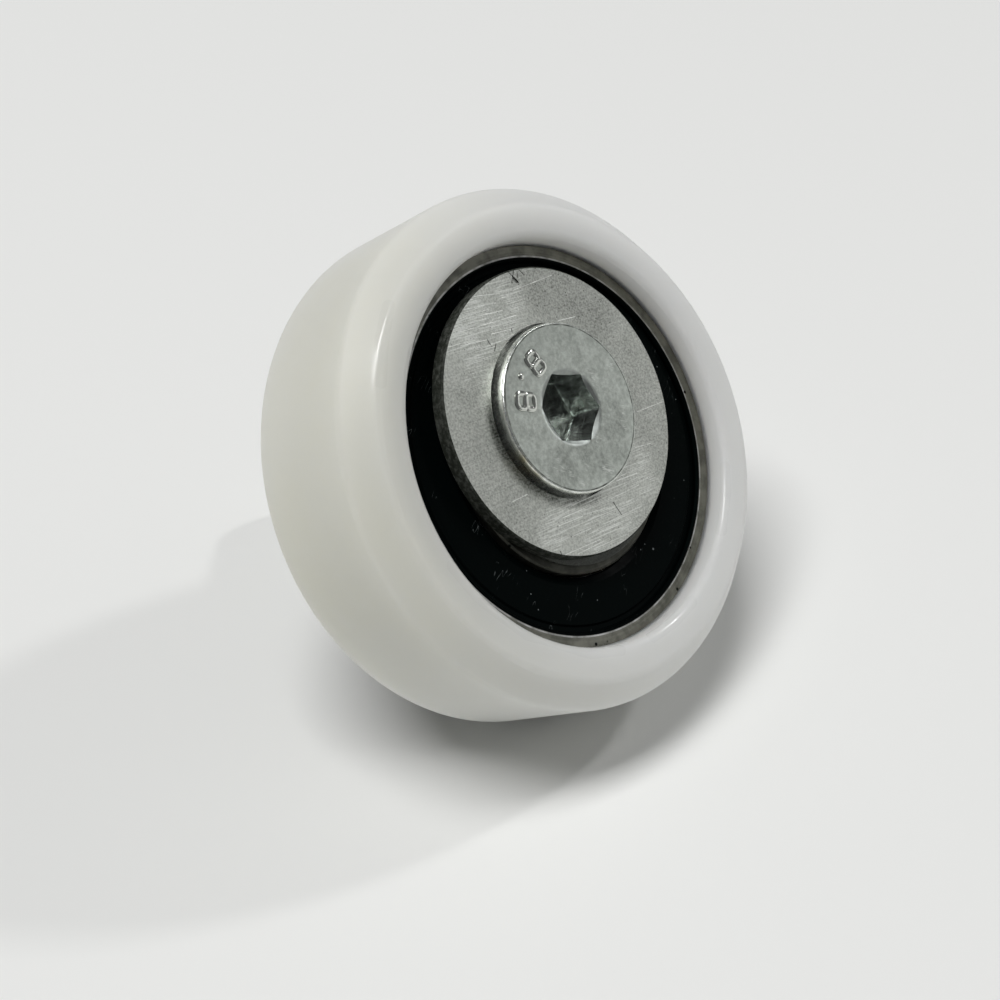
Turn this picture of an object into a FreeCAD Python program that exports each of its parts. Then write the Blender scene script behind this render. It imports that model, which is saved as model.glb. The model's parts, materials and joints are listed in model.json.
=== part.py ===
"""Eccentric roller wheel: a moulded roller on a sealed ball bearing, carried by an eccentric bush.

The wheel turns about the Y axis. The origin is the middle of the tread, -Y is the visible front,
and the clamping screw lies above the wheel axis (+Z) by the eccentricity. Sizes are millimetres.
"""
import FreeCAD, Part
import os

import Sketcher

doc = FreeCAD.newDocument("EccentricRoller")

# Driving dimensions
SIZES = {
    # Moulded roller
    "wheel_diameter": 40.0,
    "wheel_width": 14.4,
    "chamfer_rise": 1.95,
    "chamfer_run": 2.15,
    "edge_round": 0.8,
    "front_recess": 1.95,
    "lip_corner_diameter": 30.8,
    "lip_mouth_diameter": 31.1,
    "lip_round": 0.55,
    # Deep-groove ball bearing, 15 x 32 x 9
    "bearing_bore": 15.0,
    "bearing_outside": 32.0,
    "bearing_width": 9.0,
    "bearing_chamfer": 0.4,
    "inner_shoulder": 19.8,
    "outer_shoulder": 26.8,
    "ring_edge_chamfer": 0.15,
    "seal_seat": 28.4,
    "seal_inset": 0.3,
    "seal_thickness": 0.9,
    "seal_step": 0.15,
    "seal_rim": 0.55,
    "seal_lip": 0.6,
    "seal_lip_gap": 0.2,
    "ball_count": 9,
    "ball_diameter": 4.762,
    "ball_pitch": 23.5,
    "race_clearance": 0.15,
    # Moulded crown cage
    "cage_inner": 21.7,
    "cage_outer": 25.3,
    "cage_seal_gap": 0.15,
    "cage_pocket_clearance": 0.12,
    "cage_prong_reach": 0.95,
    "cage_slot_width": 1.2,
    "cage_slot_depth": 1.7,
    # Eccentric bush and rear spacer
    "eccentricity": 2.4,
    "disc_diameter": 22.1,
    "disc_thickness": 1.2,
    "disc_edge": 0.12,
    "neck_diameter": 18.6,
    "neck_height": 0.25,
    "spigot_chamfer": 0.3,
    "spacer_diameter": 19.6,
    "spacer_chamfer": 0.4,
    "mounting_gap": 1.0,
    "mark_width": 0.66,
    "mark_length": 0.65,
    "mark_depth": 0.12,
    "mark_offset": 1.06,
    "mark_inset": 0.45,
    # Low-head socket screw, M8
    "screw_diameter": 8.0,
    "screw_hole_clearance": 0.08,
    "screw_length": 35.0,
    "thread_diameter": 7.9,
    "runout_diameter": 6.6,
    "runout_length": 2.0,
    "runout_reach": 0.5,
    "tip_chamfer": 1.0,
    "head_diameter": 13.0,
    "head_height": 1.7,
    "head_round": 0.4,
    "head_seat_depth": 0.5,
    "head_clearance": 0.2,
    "key_size": 5.0,
    "key_depth": 3.2,
    "key_turn": 9.0,
    "key_mouth_diameter": 6.2,
}

sheet = doc.addObject("Spreadsheet::Sheet", "Sizes")
for row, (alias, value) in enumerate(SIZES.items(), start=1):
    sheet.set(f"A{row}", alias)
    sheet.set(f"B{row}", str(value))
    sheet.setAlias(f"B{row}", alias)
doc.recompute()

# Stations along the wheel axis, front to rear
WHEEL_FRONT = "(-Sizes.wheel_width / 2)"
WHEEL_REAR = "(Sizes.wheel_width / 2)"
BEARING_FRONT = f"({WHEEL_FRONT} + Sizes.front_recess)"
BEARING_REAR = f"({BEARING_FRONT} + Sizes.bearing_width)"
BEARING_MIDDLE = f"({BEARING_FRONT} + Sizes.bearing_width / 2)"
DISC_REAR = f"({BEARING_FRONT} - Sizes.neck_height)"
DISC_FRONT = f"({DISC_REAR} - Sizes.disc_thickness)"
HEAD_SEAT = f"({DISC_FRONT} + Sizes.head_seat_depth)"
HEAD_TOP = f"({HEAD_SEAT} - Sizes.head_height)"
MOUNTING_FACE = f"({WHEEL_REAR} + Sizes.mounting_gap)"
SCREW_TIP = f"({HEAD_SEAT} + Sizes.screw_length)"

# Radii shared by pieces that fit each other
BORE_RADIUS = "(Sizes.bearing_bore / 2)"
RING_RADIUS = "(Sizes.bearing_outside / 2)"
SEAL_RADIUS = "(Sizes.seal_seat / 2)"
PITCH_RADIUS = "(Sizes.ball_pitch / 2)"
BALL_RADIUS = "(Sizes.ball_diameter / 2)"
RACE_RADIUS = f"({BALL_RADIUS} + Sizes.race_clearance)"
POCKET_RADIUS = f"({BALL_RADIUS} + Sizes.cage_pocket_clearance)"
SCREW_HOLE_RADIUS = "(Sizes.screw_diameter / 2 + Sizes.screw_hole_clearance)"
HEAD_SEAT_RADIUS = "(Sizes.head_diameter / 2 + Sizes.head_clearance)"
SEAL_ROOM = "(Sizes.seal_inset + Sizes.seal_thickness)"

BALL_COUNT = int(sheet.get("ball_count"))
BALL_STEP = 360.0 / BALL_COUNT
nodes = []


def size(expression):
    """Present value of an expression over the sheet."""
    return float(sheet.evalExpression(expression))


def attach(sketch, body, role):
    """Lay a sketch on one of its own body's origin planes."""
    plane = next(f for f in body.Origin.OriginFeatures if f.Role == role)
    sketch.AttachmentSupport = (plane, [""])
    sketch.MapMode = "FlatFace"


def bind(sketch, index, name, expression):
    """Name a dimension of a sketch and drive it from the sheet."""
    sketch.renameConstraint(index, name)
    sketch.setExpression(f"Constraints.{name}", expression)


def draw_outline(sketch, corners):
    """Closed straight-sided outline whose corners are pairs of expressions."""
    places = [FreeCAD.Vector(size(across), size(along), 0) for across, along in corners]
    count = len(corners)
    for i in range(count):
        sketch.addGeometry(Part.LineSegment(places[i], places[(i + 1) % count]), False)
    for i in range(count):
        sketch.addConstraint(Sketcher.Constraint("Coincident", i, 2, (i + 1) % count, 1))
    for i, (across, along) in enumerate(corners):
        if across == "0":
            sketch.addConstraint(Sketcher.Constraint("PointOnObject", i, 1, -2))
        else:
            index = sketch.addConstraint(Sketcher.Constraint("DistanceX", i, 1, places[i].x))
            bind(sketch, index, f"across_{i}", across)
        index = sketch.addConstraint(Sketcher.Constraint("DistanceY", i, 1, places[i].y))
        bind(sketch, index, f"along_{i}", along)


def draw_circle(sketch, radius, across="0", along="0"):
    """Circle with a driven radius and centre."""
    centre = FreeCAD.Vector(size(across), size(along), 0)
    sketch.addGeometry(Part.Circle(centre, FreeCAD.Vector(0, 0, 1), size(radius)), False)
    index = sketch.addConstraint(Sketcher.Constraint("Radius", 0, size(radius)))
    bind(sketch, index, "radius", radius)
    for kind, axis, name, place in (("DistanceX", -2, "across", across), ("DistanceY", -1, "along", along)):
        if place == "0":
            sketch.addConstraint(Sketcher.Constraint("PointOnObject", 0, 3, axis))
        else:
            index = sketch.addConstraint(Sketcher.Constraint(kind, 0, 3, size(place)))
            bind(sketch, index, name, place)


def new_body(label):
    body = doc.addObject("PartDesign::Body", label)
    body.Label = label
    nodes.append(body)
    return body


def new_sketch(body, name, role):
    sketch = body.newObject("Sketcher::SketchObject", f"{body.Label}_{name}")
    attach(sketch, body, role)
    return sketch


def turned(body, name, corners, kind="PartDesign::Revolution"):
    """Revolve an outline of radius and station pairs about the body's Y axis."""
    sketch = new_sketch(body, f"{name}_profile", "XY_Plane")
    draw_outline(sketch, corners)
    return revolve(body, name, sketch, kind)


def revolve(body, name, sketch, kind):
    feature = body.newObject(kind, f"{body.Label}_{name}")
    feature.Profile = sketch
    feature.ReferenceAxis = (sketch, ["V_Axis"])
    feature.Angle = 360
    doc.recompute()
    return feature


def raceway(body):
    """Groove with the balls' section, cut round a bearing ring."""
    sketch = new_sketch(body, "race_profile", "XY_Plane")
    draw_circle(sketch, RACE_RADIUS, PITCH_RADIUS, BEARING_MIDDLE)
    return revolve(body, "race", sketch, "PartDesign::Groove")


def facing_sketch(body, name, station):
    """Sketch across the axis at a station: its x is X, its y is Z, and it faces the front."""
    sketch = new_sketch(body, name, "XZ_Plane")
    sketch.setExpression("AttachmentOffset.Base.z", f"-{station}")
    return sketch


def pad(body, name, sketch, length):
    """Grow a facing sketch towards the front."""
    feature = body.newObject("PartDesign::Pad", f"{body.Label}_{name}")
    feature.Profile = sketch
    feature.setExpression("Length", length)
    doc.recompute()
    return feature


def pocket(body, name, sketch, depth, along_normal=False):
    """Cut a sketch into its body, and make sure that something was removed."""
    before = body.Shape.Volume
    feature = body.newObject("PartDesign::Pocket", f"{body.Label}_{name}")
    feature.Profile = sketch
    feature.Reversed = along_normal
    feature.setExpression("Length", depth)
    doc.recompute()
    if body.Shape.Volume >= before:
        raise RuntimeError(f"{feature.Name} cut nothing")
    return feature


def rim_edges(shape, rims):
    """Names of the full circular edges that lie at the given radius and station pairs."""
    wanted = [(size(radius), size(station)) for radius, station in rims]
    names = []
    for number, edge in enumerate(shape.Edges, start=1):
        if not isinstance(edge.Curve, Part.Circle):
            continue
        place = (edge.Curve.Radius, edge.Curve.Center.y)
        if any(abs(place[0] - r) < 1e-4 and abs(place[1] - y) < 1e-4 for r, y in wanted):
            names.append(f"Edge{number}")
    return names


def dress(body, kind, rims, amount):
    """Fillet or chamfer the round edges at the given radius and station pairs."""
    base = body.Tip
    names = rim_edges(base.Shape, rims)
    if len(names) < len(rims):
        raise RuntimeError(f"{body.Label}: {len(names)} of {len(rims)} rims found")
    feature = body.newObject(f"PartDesign::{kind}", f"{body.Label}_{kind}")
    feature.Base = (base, names)
    feature.setExpression("Radius" if kind == "Fillet" else "Size", amount)
    doc.recompute()
    return feature


def repeat_round(body, feature, count):
    """Repeat a cut round the body's Y axis."""
    pattern = body.newObject("PartDesign::PolarPattern", f"{feature.Name}_pattern")
    pattern.Originals = [feature]
    pattern.Axis = (feature.Profile[0], ["V_Axis"])
    pattern.Angle = 360
    pattern.setExpression("Occurrences", count)
    body.Tip = pattern
    doc.recompute()


def make_wheel():
    """Roller moulded over the bearing: chamfered tread, and a lip that holds each bearing face."""
    body = new_body("roller_wheel")
    tread = "(Sizes.wheel_diameter / 2)"
    face = f"({tread} - Sizes.chamfer_rise)"
    corner = "(Sizes.lip_corner_diameter / 2)"
    mouth = "(Sizes.lip_mouth_diameter / 2)"
    tread_front = f"({WHEEL_FRONT} + Sizes.chamfer_run)"
    tread_rear = f"({WHEEL_REAR} - Sizes.chamfer_run)"
    turned(body, "section", [
        (mouth, WHEEL_FRONT),
        (face, WHEEL_FRONT),
        (tread, tread_front),
        (tread, tread_rear),
        (face, WHEEL_REAR),
        (mouth, WHEEL_REAR),
        (corner, BEARING_REAR),
        (RING_RADIUS, BEARING_REAR),
        (RING_RADIUS, BEARING_FRONT),
        (corner, BEARING_FRONT),
    ])
    dress(body, "Fillet", [
        (face, WHEEL_FRONT),
        (tread, tread_front),
        (tread, tread_rear),
        (face, WHEEL_REAR),
    ], "Sizes.edge_round")
    dress(body, "Fillet", [(mouth, WHEEL_FRONT), (mouth, WHEEL_REAR)], "Sizes.lip_round")


def make_outer_ring():
    """Outer ring with a seat for a seal at each end and the raceway between."""
    body = new_body("bearing_outer_ring")
    shoulder = "(Sizes.outer_shoulder / 2)"
    seat_edge = f"({SEAL_RADIUS} + Sizes.ring_edge_chamfer)"
    turned(body, "section", [
        (seat_edge, BEARING_FRONT),
        (f"{RING_RADIUS} - Sizes.bearing_chamfer", BEARING_FRONT),
        (RING_RADIUS, f"{BEARING_FRONT} + Sizes.bearing_chamfer"),
        (RING_RADIUS, f"{BEARING_REAR} - Sizes.bearing_chamfer"),
        (f"{RING_RADIUS} - Sizes.bearing_chamfer", BEARING_REAR),
        (seat_edge, BEARING_REAR),
        (SEAL_RADIUS, f"{BEARING_REAR} - Sizes.ring_edge_chamfer"),
        (SEAL_RADIUS, f"{BEARING_REAR} - {SEAL_ROOM}"),
        (shoulder, f"{BEARING_REAR} - {SEAL_ROOM}"),
        (shoulder, f"{BEARING_FRONT} + {SEAL_ROOM}"),
        (SEAL_RADIUS, f"{BEARING_FRONT} + {SEAL_ROOM}"),
        (SEAL_RADIUS, f"{BEARING_FRONT} + Sizes.ring_edge_chamfer"),
    ])
    raceway(body)


def make_inner_ring():
    """Inner ring, pressed on the eccentric spigot."""
    body = new_body("bearing_inner_ring")
    shoulder = "(Sizes.inner_shoulder / 2)"
    bore_edge = f"{BORE_RADIUS} + Sizes.bearing_chamfer"
    shoulder_edge = f"{shoulder} - Sizes.ring_edge_chamfer"
    turned(body, "section", [
        (bore_edge, BEARING_FRONT),
        (shoulder_edge, BEARING_FRONT),
        (shoulder, f"{BEARING_FRONT} + Sizes.ring_edge_chamfer"),
        (shoulder, f"{BEARING_REAR} - Sizes.ring_edge_chamfer"),
        (shoulder_edge, BEARING_REAR),
        (bore_edge, BEARING_REAR),
        (BORE_RADIUS, f"{BEARING_REAR} - Sizes.bearing_chamfer"),
        (BORE_RADIUS, f"{BEARING_FRONT} + Sizes.bearing_chamfer"),
    ])
    raceway(body)


def make_seal(label, ring_face, inward):
    """Rubber seal in the outer ring: stepped rim, flat web and a lip tapered to the inner ring."""
    body = new_body(label)
    lip = "(Sizes.inner_shoulder / 2 + Sizes.seal_lip_gap)"
    lip_root = f"{lip} + Sizes.seal_lip"
    rim_root = f"{SEAL_RADIUS} - Sizes.seal_rim"

    def station(depth):
        return f"{ring_face} {inward} (Sizes.seal_inset + {depth})"

    turned(body, "section", [
        (SEAL_RADIUS, station("Sizes.seal_step")),
        (SEAL_RADIUS, station("Sizes.seal_thickness")),
        (lip_root, station("Sizes.seal_thickness")),
        (lip, station("Sizes.seal_thickness * 2 / 3")),
        (lip, station("Sizes.seal_thickness / 3")),
        (lip_root, station("0")),
        (rim_root, station("0")),
        (f"{rim_root} + Sizes.seal_step", station("Sizes.seal_step")),
    ])


def make_balls():
    """Balls on the pitch circle, the first one straight above the wheel axis."""
    for number in range(1, BALL_COUNT + 1):
        angle = 90.0 + (number - 1) * BALL_STEP
        ball = doc.addObject("Part::Sphere", f"ball_{number}")
        ball.Label = f"ball_{number}"
        ball.setExpression("Radius", BALL_RADIUS)
        ball.setExpression("Placement.Base.x", f"{PITCH_RADIUS} * cos({angle} deg)")
        ball.setExpression("Placement.Base.y", BEARING_MIDDLE)
        ball.setExpression("Placement.Base.z", f"{PITCH_RADIUS} * sin({angle} deg)")
        nodes.append(ball)


def make_cage():
    """Crown cage: a ring behind the balls, whose slotted prongs snap round each ball from the rear."""
    body = new_body("ball_cage")
    inner = "(Sizes.cage_inner / 2)"
    outer = "(Sizes.cage_outer / 2)"
    prong_tip = f"({BEARING_MIDDLE} - Sizes.cage_prong_reach)"
    back = f"({BEARING_REAR} - {SEAL_ROOM} - Sizes.cage_seal_gap)"
    turned(body, "ring", [(inner, prong_tip), (outer, prong_tip), (outer, back), (inner, back)])

    ball_room = new_sketch(body, "ball_room_outline", "XY_Plane")
    draw_circle(ball_room, POCKET_RADIUS, "0", BEARING_MIDDLE)
    repeat_round(body, pocket(body, "ball_room", ball_room, outer, along_normal=True), "Sizes.ball_count")

    slot = new_sketch(body, "slot_outline", "XY_Plane")
    slot.AttachmentOffset = FreeCAD.Placement(FreeCAD.Vector(),
                                              FreeCAD.Rotation(FreeCAD.Vector(0, 1, 0), BALL_STEP / 2))
    half_slot = "(Sizes.cage_slot_width / 2)"
    slot_floor = f"({prong_tip} + Sizes.cage_slot_depth)"
    draw_outline(slot, [
        (f"-{half_slot}", prong_tip),
        (half_slot, prong_tip),
        (half_slot, slot_floor),
        (f"-{half_slot}", slot_floor),
    ])
    repeat_round(body, pocket(body, "slot", slot, outer, along_normal=True), "Sizes.ball_count")


def make_bush():
    """Turned eccentric: a spigot and neck on the wheel axis, a disc and bore on the screw axis."""
    body = new_body("eccentric_bush")
    disc_radius = "(Sizes.disc_diameter / 2)"
    neck = "(Sizes.neck_diameter / 2)"
    turned(body, "spigot", [
        ("0", DISC_REAR),
        (neck, DISC_REAR),
        (neck, BEARING_FRONT),
        (BORE_RADIUS, BEARING_FRONT),
        (BORE_RADIUS, f"{MOUNTING_FACE} - Sizes.spigot_chamfer"),
        (f"{BORE_RADIUS} - Sizes.spigot_chamfer", MOUNTING_FACE),
        ("0", MOUNTING_FACE),
    ])
    disc = facing_sketch(body, "disc_outline", DISC_REAR)
    draw_circle(disc, disc_radius, "0", "Sizes.eccentricity")
    pad(body, "disc", disc, "Sizes.disc_thickness")
    dress(body, "Chamfer", [(disc_radius, DISC_FRONT)], "Sizes.disc_edge")

    seat = facing_sketch(body, "seat_outline", DISC_FRONT)
    draw_circle(seat, HEAD_SEAT_RADIUS, "0", "Sizes.eccentricity")
    pocket(body, "seat", seat, "Sizes.head_seat_depth")
    hole = facing_sketch(body, "hole_outline", HEAD_SEAT)
    draw_circle(hole, SCREW_HOLE_RADIUS, "0", "Sizes.eccentricity")
    pocket(body, "hole", hole, f"{MOUNTING_FACE} - {HEAD_SEAT}")

    mark = facing_sketch(body, "mark_outline", DISC_FRONT)
    rim = f"(Sizes.eccentricity + {disc_radius})"
    base = f"{rim} - Sizes.mark_inset - Sizes.mark_length"
    draw_outline(mark, [
        ("Sizes.mark_offset", f"{rim} - Sizes.mark_inset"),
        ("Sizes.mark_offset - Sizes.mark_width / 2", base),
        ("Sizes.mark_offset + Sizes.mark_width / 2", base),
    ])
    pocket(body, "mark", mark, "Sizes.mark_depth")


def make_spacer():
    """Distance ring behind the inner ring; its rear face is clamped to the door or rail."""
    body = new_body("rear_spacer")
    outside = "(Sizes.spacer_diameter / 2)"
    turned(body, "section", [
        (BORE_RADIUS, BEARING_REAR),
        (f"{outside} - Sizes.spacer_chamfer", BEARING_REAR),
        (outside, f"{BEARING_REAR} + Sizes.spacer_chamfer"),
        (outside, f"{MOUNTING_FACE} - Sizes.spacer_chamfer"),
        (f"{outside} - Sizes.spacer_chamfer", MOUNTING_FACE),
        (BORE_RADIUS, MOUNTING_FACE),
    ])


def make_screw():
    """Low-head hexagon socket screw whose threaded end stands out behind the mounting face."""
    body = new_body("socket_screw")
    body.setExpression("Placement.Base.z", "Sizes.eccentricity")
    head = "(Sizes.head_diameter / 2)"
    shank = "(Sizes.screw_diameter / 2)"
    thread = "(Sizes.thread_diameter / 2)"
    runout = "(Sizes.runout_diameter / 2)"
    thread_start = f"({MOUNTING_FACE} + Sizes.runout_reach)"
    shank_end = f"({thread_start} - Sizes.runout_length)"
    turned(body, "blank", [
        ("0", HEAD_TOP),
        (head, HEAD_TOP),
        (head, HEAD_SEAT),
        (shank, HEAD_SEAT),
        (shank, shank_end),
        (runout, shank_end),
        (runout, thread_start),
        (thread, thread_start),
        (thread, f"{SCREW_TIP} - Sizes.tip_chamfer"),
        (f"{thread} - Sizes.tip_chamfer", SCREW_TIP),
        ("0", SCREW_TIP),
    ])
    dress(body, "Fillet", [(head, HEAD_TOP)], "Sizes.head_round")

    # Six-sided socket with a corner near +Z, and the cone that leads the key in.
    socket = facing_sketch(body, "socket_outline", HEAD_TOP)
    corner = "Sizes.key_size / sqrt(3)"
    draw_outline(socket, [
        (f"-{corner} * sin(Sizes.key_turn + {turn})", f"{corner} * cos(Sizes.key_turn + {turn})")
        for turn in range(0, 360, 60)
    ])
    pocket(body, "socket", socket, "Sizes.key_depth")
    mouth = "(Sizes.key_mouth_diameter / 2)"
    turned(body, "mouth", [
        ("0", HEAD_TOP),
        (mouth, HEAD_TOP),
        ("0", f"{HEAD_TOP} + {mouth} / sqrt(3)"),
    ], "PartDesign::Groove")


def check_and_write():
    """Refuse a failed feature or an invalid solid, then write one STEP file for each node."""
    doc.recompute()
    for item in doc.Objects:
        if "Invalid" in item.State or "Error" in item.State:
            raise RuntimeError(f"{item.Name} failed: {item.State}")
    for node in nodes:
        if node.Shape.isNull() or not node.Shape.isValid():
            raise RuntimeError(f"{node.Label} has no valid shape")
    os.makedirs("parts", exist_ok=True)
    for node in nodes:
        node.Shape.exportStep(os.path.join("parts", f"{node.Label}.step"))
        print(f"{node.Label}: {len(node.Shape.Solids)} solid(s), {node.Shape.Volume:.1f} mm3")


make_wheel()
make_outer_ring()
make_inner_ring()
make_seal("front_seal", BEARING_FRONT, "+")
make_seal("rear_seal", BEARING_REAR, "-")
make_balls()
make_cage()
make_bush()
make_spacer()
make_screw()
check_and_write()
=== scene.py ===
"""Looks of the eccentric roller wheel: finishes, rolled thread, raised class mark, stage and camera."""
import json
import math

import bmesh
import bpy
from bpy.props import FloatProperty, FloatVectorProperty, IntProperty, PointerProperty
from mathutils import Matrix, Vector


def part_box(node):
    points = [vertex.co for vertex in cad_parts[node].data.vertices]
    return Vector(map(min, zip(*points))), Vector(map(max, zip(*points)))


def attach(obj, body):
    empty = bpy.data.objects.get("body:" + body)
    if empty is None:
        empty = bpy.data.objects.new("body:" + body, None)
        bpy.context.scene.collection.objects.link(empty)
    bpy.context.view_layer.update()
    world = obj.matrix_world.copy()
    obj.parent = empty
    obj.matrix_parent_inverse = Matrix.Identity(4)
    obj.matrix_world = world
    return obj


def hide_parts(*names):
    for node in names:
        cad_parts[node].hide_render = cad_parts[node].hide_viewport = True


bl_info = {
    "name": "Eccentric Roller Wheel",
    "version": (1, 0, 0),
    "blender": (4, 5, 0),
    "location": "View3D > Sidebar > Roller Wheel",
    "description": "Dresses the packed roller wheel with its finishes, thread, head mark and stage",
    "category": "Object",
}

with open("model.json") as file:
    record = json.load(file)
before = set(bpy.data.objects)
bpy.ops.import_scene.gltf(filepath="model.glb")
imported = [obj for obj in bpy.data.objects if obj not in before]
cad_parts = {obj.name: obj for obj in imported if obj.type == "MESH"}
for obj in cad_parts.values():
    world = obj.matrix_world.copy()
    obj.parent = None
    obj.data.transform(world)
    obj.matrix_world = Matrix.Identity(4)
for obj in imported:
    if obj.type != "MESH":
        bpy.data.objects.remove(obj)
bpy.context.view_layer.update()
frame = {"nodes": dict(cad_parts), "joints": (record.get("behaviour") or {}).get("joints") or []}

MM = 0.001
SCREW_AXIS = frame["joints"][0]["pos_m"][2]
HEAD_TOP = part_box("socket_screw")[0].y
SCREW_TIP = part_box("socket_screw")[1].y
MOUNTING_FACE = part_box("rear_spacer")[1].y
DISC_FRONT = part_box("eccentric_bush")[0].y
WHEEL_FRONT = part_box("roller_wheel")[0].y

# Radii and depths in millimetres, and angles in degrees, that the finishes follow.
SCREW_HEIGHT = SCREW_AXIS / MM
ROLLER_RIM = 17.9
OUTER_RING_BAND = 14.56
INNER_RING_BAND = 12.0
HEAD_RIM = 6.28
DISC_MIDDLE = -6.2
NECK_FRONT = -5.6
NECK_REAR = -5.1
KEY_HALF_WIDTH = 2.5
KEY_CORNER = 2.82
KEY_MOUTH = 3.1
KEY_DEPTH = 3.2
KEY_FLOOR = HEAD_TOP / MM + KEY_DEPTH
KEY_FACES = (9.0, 69.0, 129.0)
DOT_HALF_LENGTH = 0.02

# Distances within which points are joined, and how far the thread reaches into the screw's body.
THREAD_WELD = 0.001 * MM
SCREW_WELD = 0.002 * MM
DIGIT_WELD = 0.003 * MM
THREAD_OVERLAP = 0.1 * MM

# Parts of a digit's height or stroke: each loop, its rounding and its shift, and the point.
LOOP_SHARE = 0.52
LOOP_ROUNDING = 0.40
LOOP_SHIFT = 0.46
POINT_SHARE = 0.62

SENSOR_WIDTH = 36.0
FLOOR_FADE = (0.6, 0.98)
SKY_TINT = (0.96, 0.98, 1.0, 1.0)
LAMP_DISTANCE = 2.0

# Lamp, its power setting, its direction (right, away, up), its width's direction, width and depth in metres.
LAMPS = (
    ("overhead_lamp", "overhead", (-0.26, -0.13, 1.0), (0.875, 0.485), 1.20, 0.50),
    ("side_lamp", "side", (1.03, 0.55, 1.0), (1.0, 0.0), 0.15, 0.15),
    ("right_wall", "right_wall", (2.70, 0.48, 0.48), (0.0, 1.0), 1.8, 0.7),
    ("left_wall", "left_wall", (-2.70, 0.70, 0.50), (0.0, 1.0), 1.4, 0.7),
)

# Strokes and patches on the front faces, from one (X, Z) place to another in millimetres.
DISC_SCRATCHES = (
    ((-6.57, 10.95), (-3.60, 10.60)), ((-3.60, 10.60), (-0.25, 10.19)), ((-3.54, 11.30), (-1.32, 10.96)),
    ((-4.64, 12.18), (-1.50, 11.64)), ((-3.25, 12.74), (-1.00, 12.19)), ((-3.69, 9.14), (-1.43, 8.82)),
    ((-6.44, 9.98), (-3.89, 9.54)), ((-3.29, 9.77), (-1.05, 9.41)), ((0.55, 11.94), (4.75, 11.73)),
    ((3.45, 8.44), (5.25, 8.15)), ((-0.66, 9.05), (0.89, 9.00)), ((-5.65, -6.94), (-1.89, -7.42)),
    ((-4.48, -7.41), (-1.65, -7.68)), ((-4.39, -6.06), (-2.29, -6.33)), ((-5.07, -4.85), (-2.56, -5.22)),
    ((-4.46, -4.51), (-2.09, -4.80)), ((0.86, -5.26), (4.06, -5.51)), ((2.11, -4.31), (4.42, -4.65)),
    ((7.15, -0.57), (10.22, -0.91)), ((5.38, -2.89), (7.10, -3.24)), ((-8.07, -1.57), (-6.56, -1.67)),
)
DISC_NICKS = (
    ((0.86, 13.26), (1.35, 12.28)), ((1.37, 13.22), (0.71, 12.49)), ((0.71, 12.49), (1.35, 12.28)),
    ((1.64, 13.05), (1.47, 12.63)), ((1.94, 13.10), (2.18, 12.63)), ((0.88, -5.55), (1.13, -6.73)),
    ((-5.96, -6.52), (-5.98, -6.85)), ((-3.83, 9.52), (-3.78, 9.12)), ((-1.24, 9.48), (-1.32, 9.23)),
    ((-3.25, 8.98), (-3.66, 8.57)),
)
RUBBED_EDGES = (
    ((-11.07, 14.80), (-13.00, 12.60)), ((-13.00, 12.60), (-14.60, 10.20)), ((13.40, -7.97), (12.25, -9.80)),
    ((12.25, -9.80), (10.00, -12.13)), ((3.73, -15.41), (1.09, -15.81)), ((1.09, -15.81), (-1.56, -15.76)),
    ((-5.00, -15.10), (-7.80, -13.90)), ((-7.80, -13.90), (-12.45, -10.05)),
    ((-12.45, -10.05), (-15.00, -5.88)), ((-15.00, -5.88), (-15.80, -3.17)),
)
DISC_RUBBED = (
    ((-7.00, 9.90), (-1.20, 10.90)), ((-4.80, -6.20), (0.20, -5.90)), ((0.20, -5.90), (3.60, -4.60)),
)
DISC_SOILED = (((1.60, 12.00), (5.60, 10.60)), ((5.60, 10.60), (7.60, 7.60)))
HEAD_CLOUDS = (((-3.20, -1.20), (1.60, -1.60)), ((1.60, -1.60), (3.60, -0.20)))
DISC_DOTS = ((5.46, 11.55), (4.18, 8.75), (4.30, 10.90), (4.06, 9.26), (-1.49, -5.42), (-4.39, -6.06),
             (-5.16, -4.85), (4.66, -5.26), (-8.00, 2.78))
DOT_STROKES = tuple(((x - DOT_HALF_LENGTH, z), (x + DOT_HALF_LENGTH, z)) for x, z in DISC_DOTS)

# Shader group of each kind of stroke, with its strokes and the level of the face that carries them.
STROKES = {
    "Disc Scratches": (DISC_SCRATCHES, DISC_FRONT),
    "Disc Nicks": (DISC_NICKS + DOT_STROKES, DISC_FRONT),
    "Rubbed Face": (DISC_RUBBED, DISC_FRONT),
    "Soiled Face": (DISC_SOILED, DISC_FRONT),
    "Head Clouds": (HEAD_CLOUDS, HEAD_TOP),
    "Rubbed Edges": (RUBBED_EDGES, WHEEL_FRONT + 0.15 * MM),
}


def colour(label, description, default):
    """Colour that a user can change."""
    return FloatVectorProperty(name=label, description=description, default=default,
                               subtype="COLOR", min=0.0, max=1.0)


def length(label, description, millimetres):
    """Length that a user can change."""
    return FloatProperty(name=label, description=description, default=millimetres * MM,
                         subtype="DISTANCE", unit="LENGTH", precision=5)


def angle(label, description, degrees):
    """Angle that a user can change."""
    return FloatProperty(name=label, description=description, default=math.radians(degrees),
                         subtype="ANGLE", unit="ROTATION")


def number(label, description, default):
    """Plain number that a user can change."""
    return FloatProperty(name=label, description=description, default=default, min=0.0)


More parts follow.
